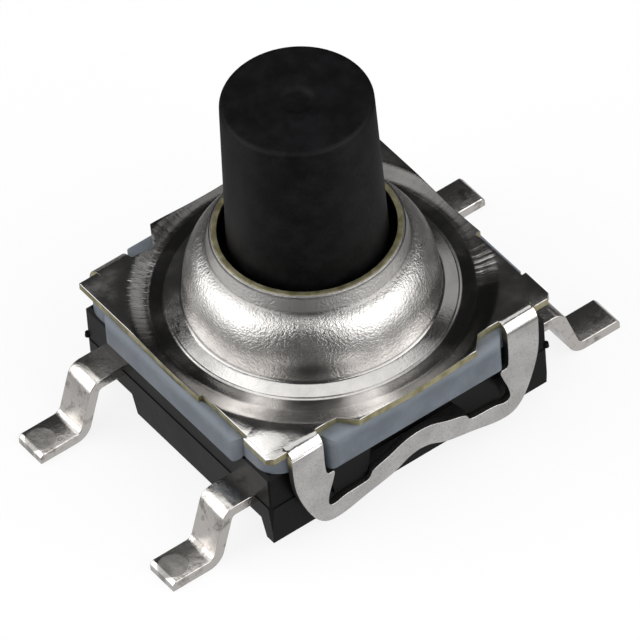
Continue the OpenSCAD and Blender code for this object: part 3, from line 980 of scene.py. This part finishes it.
button_low, button_high = (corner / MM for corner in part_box("button"))
TOP, FOOT = button_high.z, button_low.z
TOP_R, RIM_R, FLANGE_R, BOSS_R = 1.375, 1.455, button_high.x, 0.95
EDGE_R = 0.1
FLANGE_LOW, FLANGE_TOP = 2.47, PLATE_TOP + 0.73
TOP_FACE = (
    (1.2, 0.0), (0.9, 0.003), (0.6, 0.004), (0.36, 0.002),
    (0.31, 0.012), (0.27, 0.042), (0.22, 0.05), (0.0, 0.05))
draft = (RIM_R - TOP_R) / (TOP - BELL_TOP)
stem_low = PLATE_TOP + 1.03
stem_r = RIM_R + draft * (BELL_TOP - stem_low)
profile = [(0, FOOT), (BOSS_R - 0.03, FOOT), (BOSS_R, FOOT + 0.03), (BOSS_R, FLANGE_LOW)]
profile += [(FLANGE_R - 0.04, FLANGE_LOW), (FLANGE_R, FLANGE_LOW + 0.04)]
profile += [(FLANGE_R, FLANGE_TOP - 0.04), (FLANGE_R - 0.03, FLANGE_TOP)]
profile += [(stem_r - draft * k * 0.5, stem_low + k * 0.5) for k in range(8)]
profile += arc((TOP_R - EDGE_R, TOP - EDGE_R), EDGE_R, EDGE_R, 2, 88, 10)
profile += [(r, TOP - depth) for r, depth in TOP_FACE]
button_turned = finished_piece("button_turned", turned_mesh(profile), [FINISHES["button"]], "plunger", 50)
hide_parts("button")

# %% [markdown]
# ## Softer edges on the CAD pieces
# The base and the terminals already have their true shapes in the CAD, and only their edges are
# too sharp. Modifiers do this without touching the meshes: flat triangles are joined, edges get a
# small bevel, and a tiny node group then tells smooth edges from sharp ones.

# %% Bevel and shade the CAD pieces
BEVEL_OVER, SHARP_OVER = 30, 35


def shade_by_angle(limit):
    """A node group that makes an edge sharp where its faces turn more than the limit."""
    group = bpy.data.node_groups.new(f"sharp_over_{limit}", "GeometryNodeTree")
    group.interface.new_socket("Geometry", in_out="INPUT", socket_type="NodeSocketGeometry")
    group.interface.new_socket("Geometry", in_out="OUTPUT", socket_type="NodeSocketGeometry")
    entry, leave = group.nodes.new("NodeGroupInput"), group.nodes.new("NodeGroupOutput")
    faces, edges = (group.nodes.new("GeometryNodeSetShadeSmooth") for _ in range(2))
    faces.domain, edges.domain = "FACE", "EDGE"
    turn, small = group.nodes.new("GeometryNodeInputMeshEdgeAngle"), group.nodes.new("FunctionNodeCompare")
    small.operation = "LESS_THAN"
    small.inputs[1].default_value = math.radians(limit)
    link = group.links.new
    link(entry.outputs[0], faces.inputs["Geometry"])
    link(faces.outputs[0], edges.inputs["Geometry"])
    link(turn.outputs[0], small.inputs[0])
    link(small.outputs[0], edges.inputs["Shade Smooth"])
    link(edges.outputs[0], leave.inputs[0])
    return group


SHARP_GROUP = shade_by_angle(SHARP_OVER)


def soften_edges(piece, width):
    """Joins flat triangles of a CAD shape, bevels its edges and shades it by angle."""
    piece.modifiers.new("weld", "WELD").merge_threshold = 0.0002 * MM
    join = piece.modifiers.new("join_flats", "DECIMATE")
    join.decimate_type = "DISSOLVE"
    join.angle_limit = math.radians(0.5)
    bevel = piece.modifiers.new("edge_bevel", "BEVEL")
    bevel.width = width * MM
    bevel.segments = 3
    bevel.limit_method = "ANGLE"
    bevel.angle_limit = math.radians(BEVEL_OVER)
    bevel.use_clamp_overlap = True
    piece.modifiers.new("shade_by_angle", "NODES").node_group = SHARP_GROUP
    piece.modifiers.new("weighted_normals", "WEIGHTED_NORMAL").keep_sharp = True
    print(piece.name, "edges softened by", width, "mm")


for name, width in (("base", 0.02), ("centre_terminals", 0.025), ("rim_terminals", 0.025)):
    soften_edges(nodes[name], width)

# %% [markdown]
# ## The seal and the snap dome
# The seal is one piece of silicone, held at its rim while its boss goes down with the button. A copy of
# the CAD shape stands for it. The snap dome is turned anew as a crown of even thickness, as wide and as
# high as the CAD dome.

# %% Seal and snap dome
DOME_T, DOME_STEPS = 0.08, 24


def follow_by_radius(piece):
    """Lays a piece's points along X by their radius, bakes its transform and puts the points back.
    """
    data = piece.data
    true = np.array([v.co for v in data.vertices])
    level = np.zeros_like(true)
    level[:, 0] = np.hypot(true[:, 0], true[:, 1])
    data.vertices.foreach_set("co", level.ravel())
    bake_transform(piece)
    data.vertices.foreach_set("co", true.ravel())
    data.update()


def copy_of(name, label):
    """A copy of a CAD node's shape, in place."""
    data = nodes[name].data.copy()
    data.transform(nodes[name].matrix_world)
    piece = bpy.data.objects.new(label, data)
    scene.collection.objects.link(piece)
    return piece


seal_moulded = copy_of("seal", "seal_moulded")
follow_by_radius(seal_moulded)
soften_edges(seal_moulded, 0.02)
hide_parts("seal")

dome_low, dome_high = (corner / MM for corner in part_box("snap_dome"))
dome_rise = dome_high.z - dome_low.z - DOME_T
shares = [k / DOME_STEPS for k in range(DOME_STEPS + 1)]
crown = [(dome_high.x * share, dome_low.z + dome_rise * (1 - share ** 2)) for share in shares]
crown += [(r, z + DOME_T) for r, z in reversed(crown)]
dome_pressed = finished_piece("dome_pressed", turned_mesh(crown, 96), [FINISHES["snap_dome"]], "housing")
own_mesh(dome_pressed)
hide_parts("snap_dome")

# %% [markdown]
# ## Floor
# The photograph is a cut-out on white, and the part needs a floor to stand on. Seen by the camera
# the pale floor is nearly white and keeps the part's shadow. A mirror sees a darker floor, brighter
# close by and in two pools, as a table has under its lamps. The bell's wall and the feet show them.

# %% Pale floor
FLOOR_SIDE, FLOOR_GAP = 900, 0.002
POOLS = ((22, 42, 1), (-116, 46, 1))
CLOSE_BY, POOL_EDGE = (6.0, 9.0), (8.0, 12.0)
DIM_LEVEL, CLOSE_LEVEL, POOL_LEVEL = 0.10, 0.45, 0.75


def soft_floor():
    """Pale paint with a glow. Angles of the pools are counted from the -X side."""
    finish = Finish("pale_floor", Roughness=0.9)
    finish.feed("Base Color", grey(0.86))
    x, y = finish.split(finish.scaled(finish.add("ShaderNodeNewGeometry"), 1 / MM))[:2]
    distance = (x * x + y * y) ** 0.5
    turn = y.maths("ARCTAN2", y, x * -1.0) * (180 / math.pi)
    close = 1 - distance.rise(*CLOSE_BY)
    pools = round_the_axis(turn, POOLS) * distance.rise(*POOL_EDGE)
    mirrored = DIM_LEVEL + CLOSE_LEVEL * close + POOL_LEVEL * pools
    camera_ray, mirror_ray = finish.rays("Camera"), finish.rays("Glossy")
    strength = camera_ray + mirror_ray * mirrored
    glow = finish.add("ShaderNodeEmission", None, {"Color": (1, 1, 1), "Strength": strength})
    paint = Wire(finish, finish.shader.outputs[0])
    mix = finish.add("ShaderNodeMixShader", None, {0: camera_ray * 0.85 + mirror_ray, 1: paint, 2: glow})
    finish.tree.links.new(mix.socket, finish.tree.nodes["Material Output"].inputs["Surface"])
    return finish.material


def studio_piece(name, mesh, material):
    """A mesh that belongs to the studio and not to the part."""
    data = bpy.data.meshes.new(name)
    mesh.to_mesh(data)
    mesh.free()
    data.materials.append(material)
    piece = bpy.data.objects.new(name, data)
    scene.collection.objects.link(piece)
    return piece


sheet_of_paper = bmesh.new()
bmesh.ops.create_grid(sheet_of_paper, x_segments=2, y_segments=2, size=0.5)
floor = studio_piece("floor", sheet_of_paper, soft_floor())
floor.location.z = -FLOOR_GAP * MM
floor.scale = (FLOOR_SIDE * MM, FLOOR_SIDE * MM, 1)
print("floor", FLOOR_SIDE, "mm wide")

# %% [markdown]
# ## Dark tent
# Bright metal is only as bright as what it mirrors, and the photograph's studio was dark beyond
# its lamps. A dark dome round everything gives the cover that darkness. Only mirror rays meet it,
# so it takes no light from the part and never shows in the picture.

# %% Tent
TENT_R = 300
FRONT_LEVEL, BACK_LEVEL = 0.06, 0.03


def tent_cloth():
    """A faint glow, darkest behind the part."""
    finish = Finish("tent_cloth")
    x, y = finish.split(finish.scaled(finish.add("ShaderNodeNewGeometry"), 1 / MM / TENT_R))[:2]
    behind = (x * 0.55 + y * 0.83).rise(-0.6, 0.4)
    strength = FRONT_LEVEL + (BACK_LEVEL - FRONT_LEVEL) * behind
    glow = finish.add("ShaderNodeEmission", None, {"Color": (1, 1, 1), "Strength": strength})
    finish.tree.links.new(glow.socket, finish.tree.nodes["Material Output"].inputs["Surface"])
    return finish.material


dome_line = [(0, TENT_R)] + arc((0, 0), TENT_R, TENT_R, 88, 3, 24)
dome_line += [(TENT_R * 1.02, 9), (0, TENT_R * 1.02)]
tent = studio_piece("dark_tent", turned_mesh(dome_line, 48), tent_cloth())
for kind in ("camera", "diffuse", "shadow"):
    setattr(tent, f"visible_{kind}", False)
print("tent of radius", TENT_R, "mm")

# %% [markdown]
# ## World and soft boxes
# Two large soft boxes in front, left and right, light the part, as their broad reflections on the
# cover show. Three small ones high up and behind give the plate and the far side their own glints.
# The places and sizes were worked out from the photograph's reflections. The world is white to
# the camera, and a soft grey to dull surfaces so that shadows stay open.

# %% World and lamps
MIDDLE = Vector((0, 0, 2.5))
LAMP_DISTANCE = 150

world = bpy.data.worlds.new("studio")
scene.world = world
world.use_nodes = True
sky = Network(world.node_tree)
white = sky.add("ShaderNodeBackground", None, {"Color": (1, 1, 1), "Strength": 1.0})
soft = sky.add("ShaderNodeBackground", None, {"Color": (0.96, 0.98, 1.0), "Strength": 0.28})
sharp = sky.rays("Camera", "Glossy", "Transmission")
mix = sky.add("ShaderNodeMixShader", None, {0: sharp, 1: soft, 2: white})
sky.tree.links.new(mix.socket, sky.tree.nodes["World Output"].inputs["Surface"])


def away(azimuth, elevation):
    """The direction from the part to a place at this azimuth and elevation, in degrees."""
    a, e = math.radians(azimuth), math.radians(elevation)
    return Vector((math.sin(a) * math.cos(e), -math.cos(a) * math.cos(e), math.sin(e)))


def soft_box(name, azimuth, elevation, width, height, level):
    """A rectangular lamp that faces the part. The level is how bright its face looks: 1 is white."""
    data = bpy.data.lights.new(name, "AREA")
    data.shape = "RECTANGLE"
    data.size, data.size_y = width * MM, height * MM
    data.energy = level * math.pi * width * height * MM * MM
    lamp = bpy.data.objects.new(name, data)
    scene.collection.objects.link(lamp)
    place = MIDDLE + away(azimuth, elevation) * LAMP_DISTANCE
    lamp.location = place * MM
    lamp.rotation_mode = "QUATERNION"
    lamp.rotation_quaternion = (place - MIDDLE).to_track_quat("Z", "Y")


soft_box("left_box", -112, 28, 215, 186, 2.1)
soft_box("right_box", 28, 30, 210, 192, 2.15)
soft_box("top_box", 147, 79, 125, 95, 1.0)
soft_box("back_left_box", -168, 60, 50, 60, 0.7)
soft_box("back_strip", 109, 36, 60, 52, 0.35)

# %% [markdown]
# ## Camera
# The photograph was taken with a long lens from the front left, about 46 degrees above the floor.
# The numbers come from fitting the feet, the corners, the round edges and the button's top.

# %% Camera at the photograph's place
AZIMUTH, ELEVATION, ROLL_ANGLE = -33.443, 46.458, -4.733
DISTANCE, LENS, SENSOR = 213.08, 671.2, 36.0
AIM_RIGHT, AIM_DOWN = 0.1371, 0.5421
roll = math.radians(ROLL_ANGLE)
back = away(AZIMUTH, ELEVATION)
level_right = Vector((0, 0, 1)).cross(back).normalized()
level_up = back.cross(level_right)
right = level_right * math.cos(roll) + level_up * math.sin(roll)
up = level_up * math.cos(roll) - level_right * math.sin(roll)
lens = bpy.data.cameras.new("photo_camera")
lens.lens, lens.sensor_width = LENS, SENSOR
lens.clip_start, lens.clip_end = 0.01, 2.0
camera = bpy.data.objects.new("photo_camera", lens)
scene.collection.objects.link(camera)
spot = (MIDDLE + back * DISTANCE + right * AIM_RIGHT - up * AIM_DOWN) * MM
camera.matrix_world = Matrix.Translation(spot) @ Matrix((right, up, back)).transposed().to_4x4()
scene.camera = camera
scene.view_settings.view_transform = "Standard"
print("camera at", [round(v, 4) for v in spot])
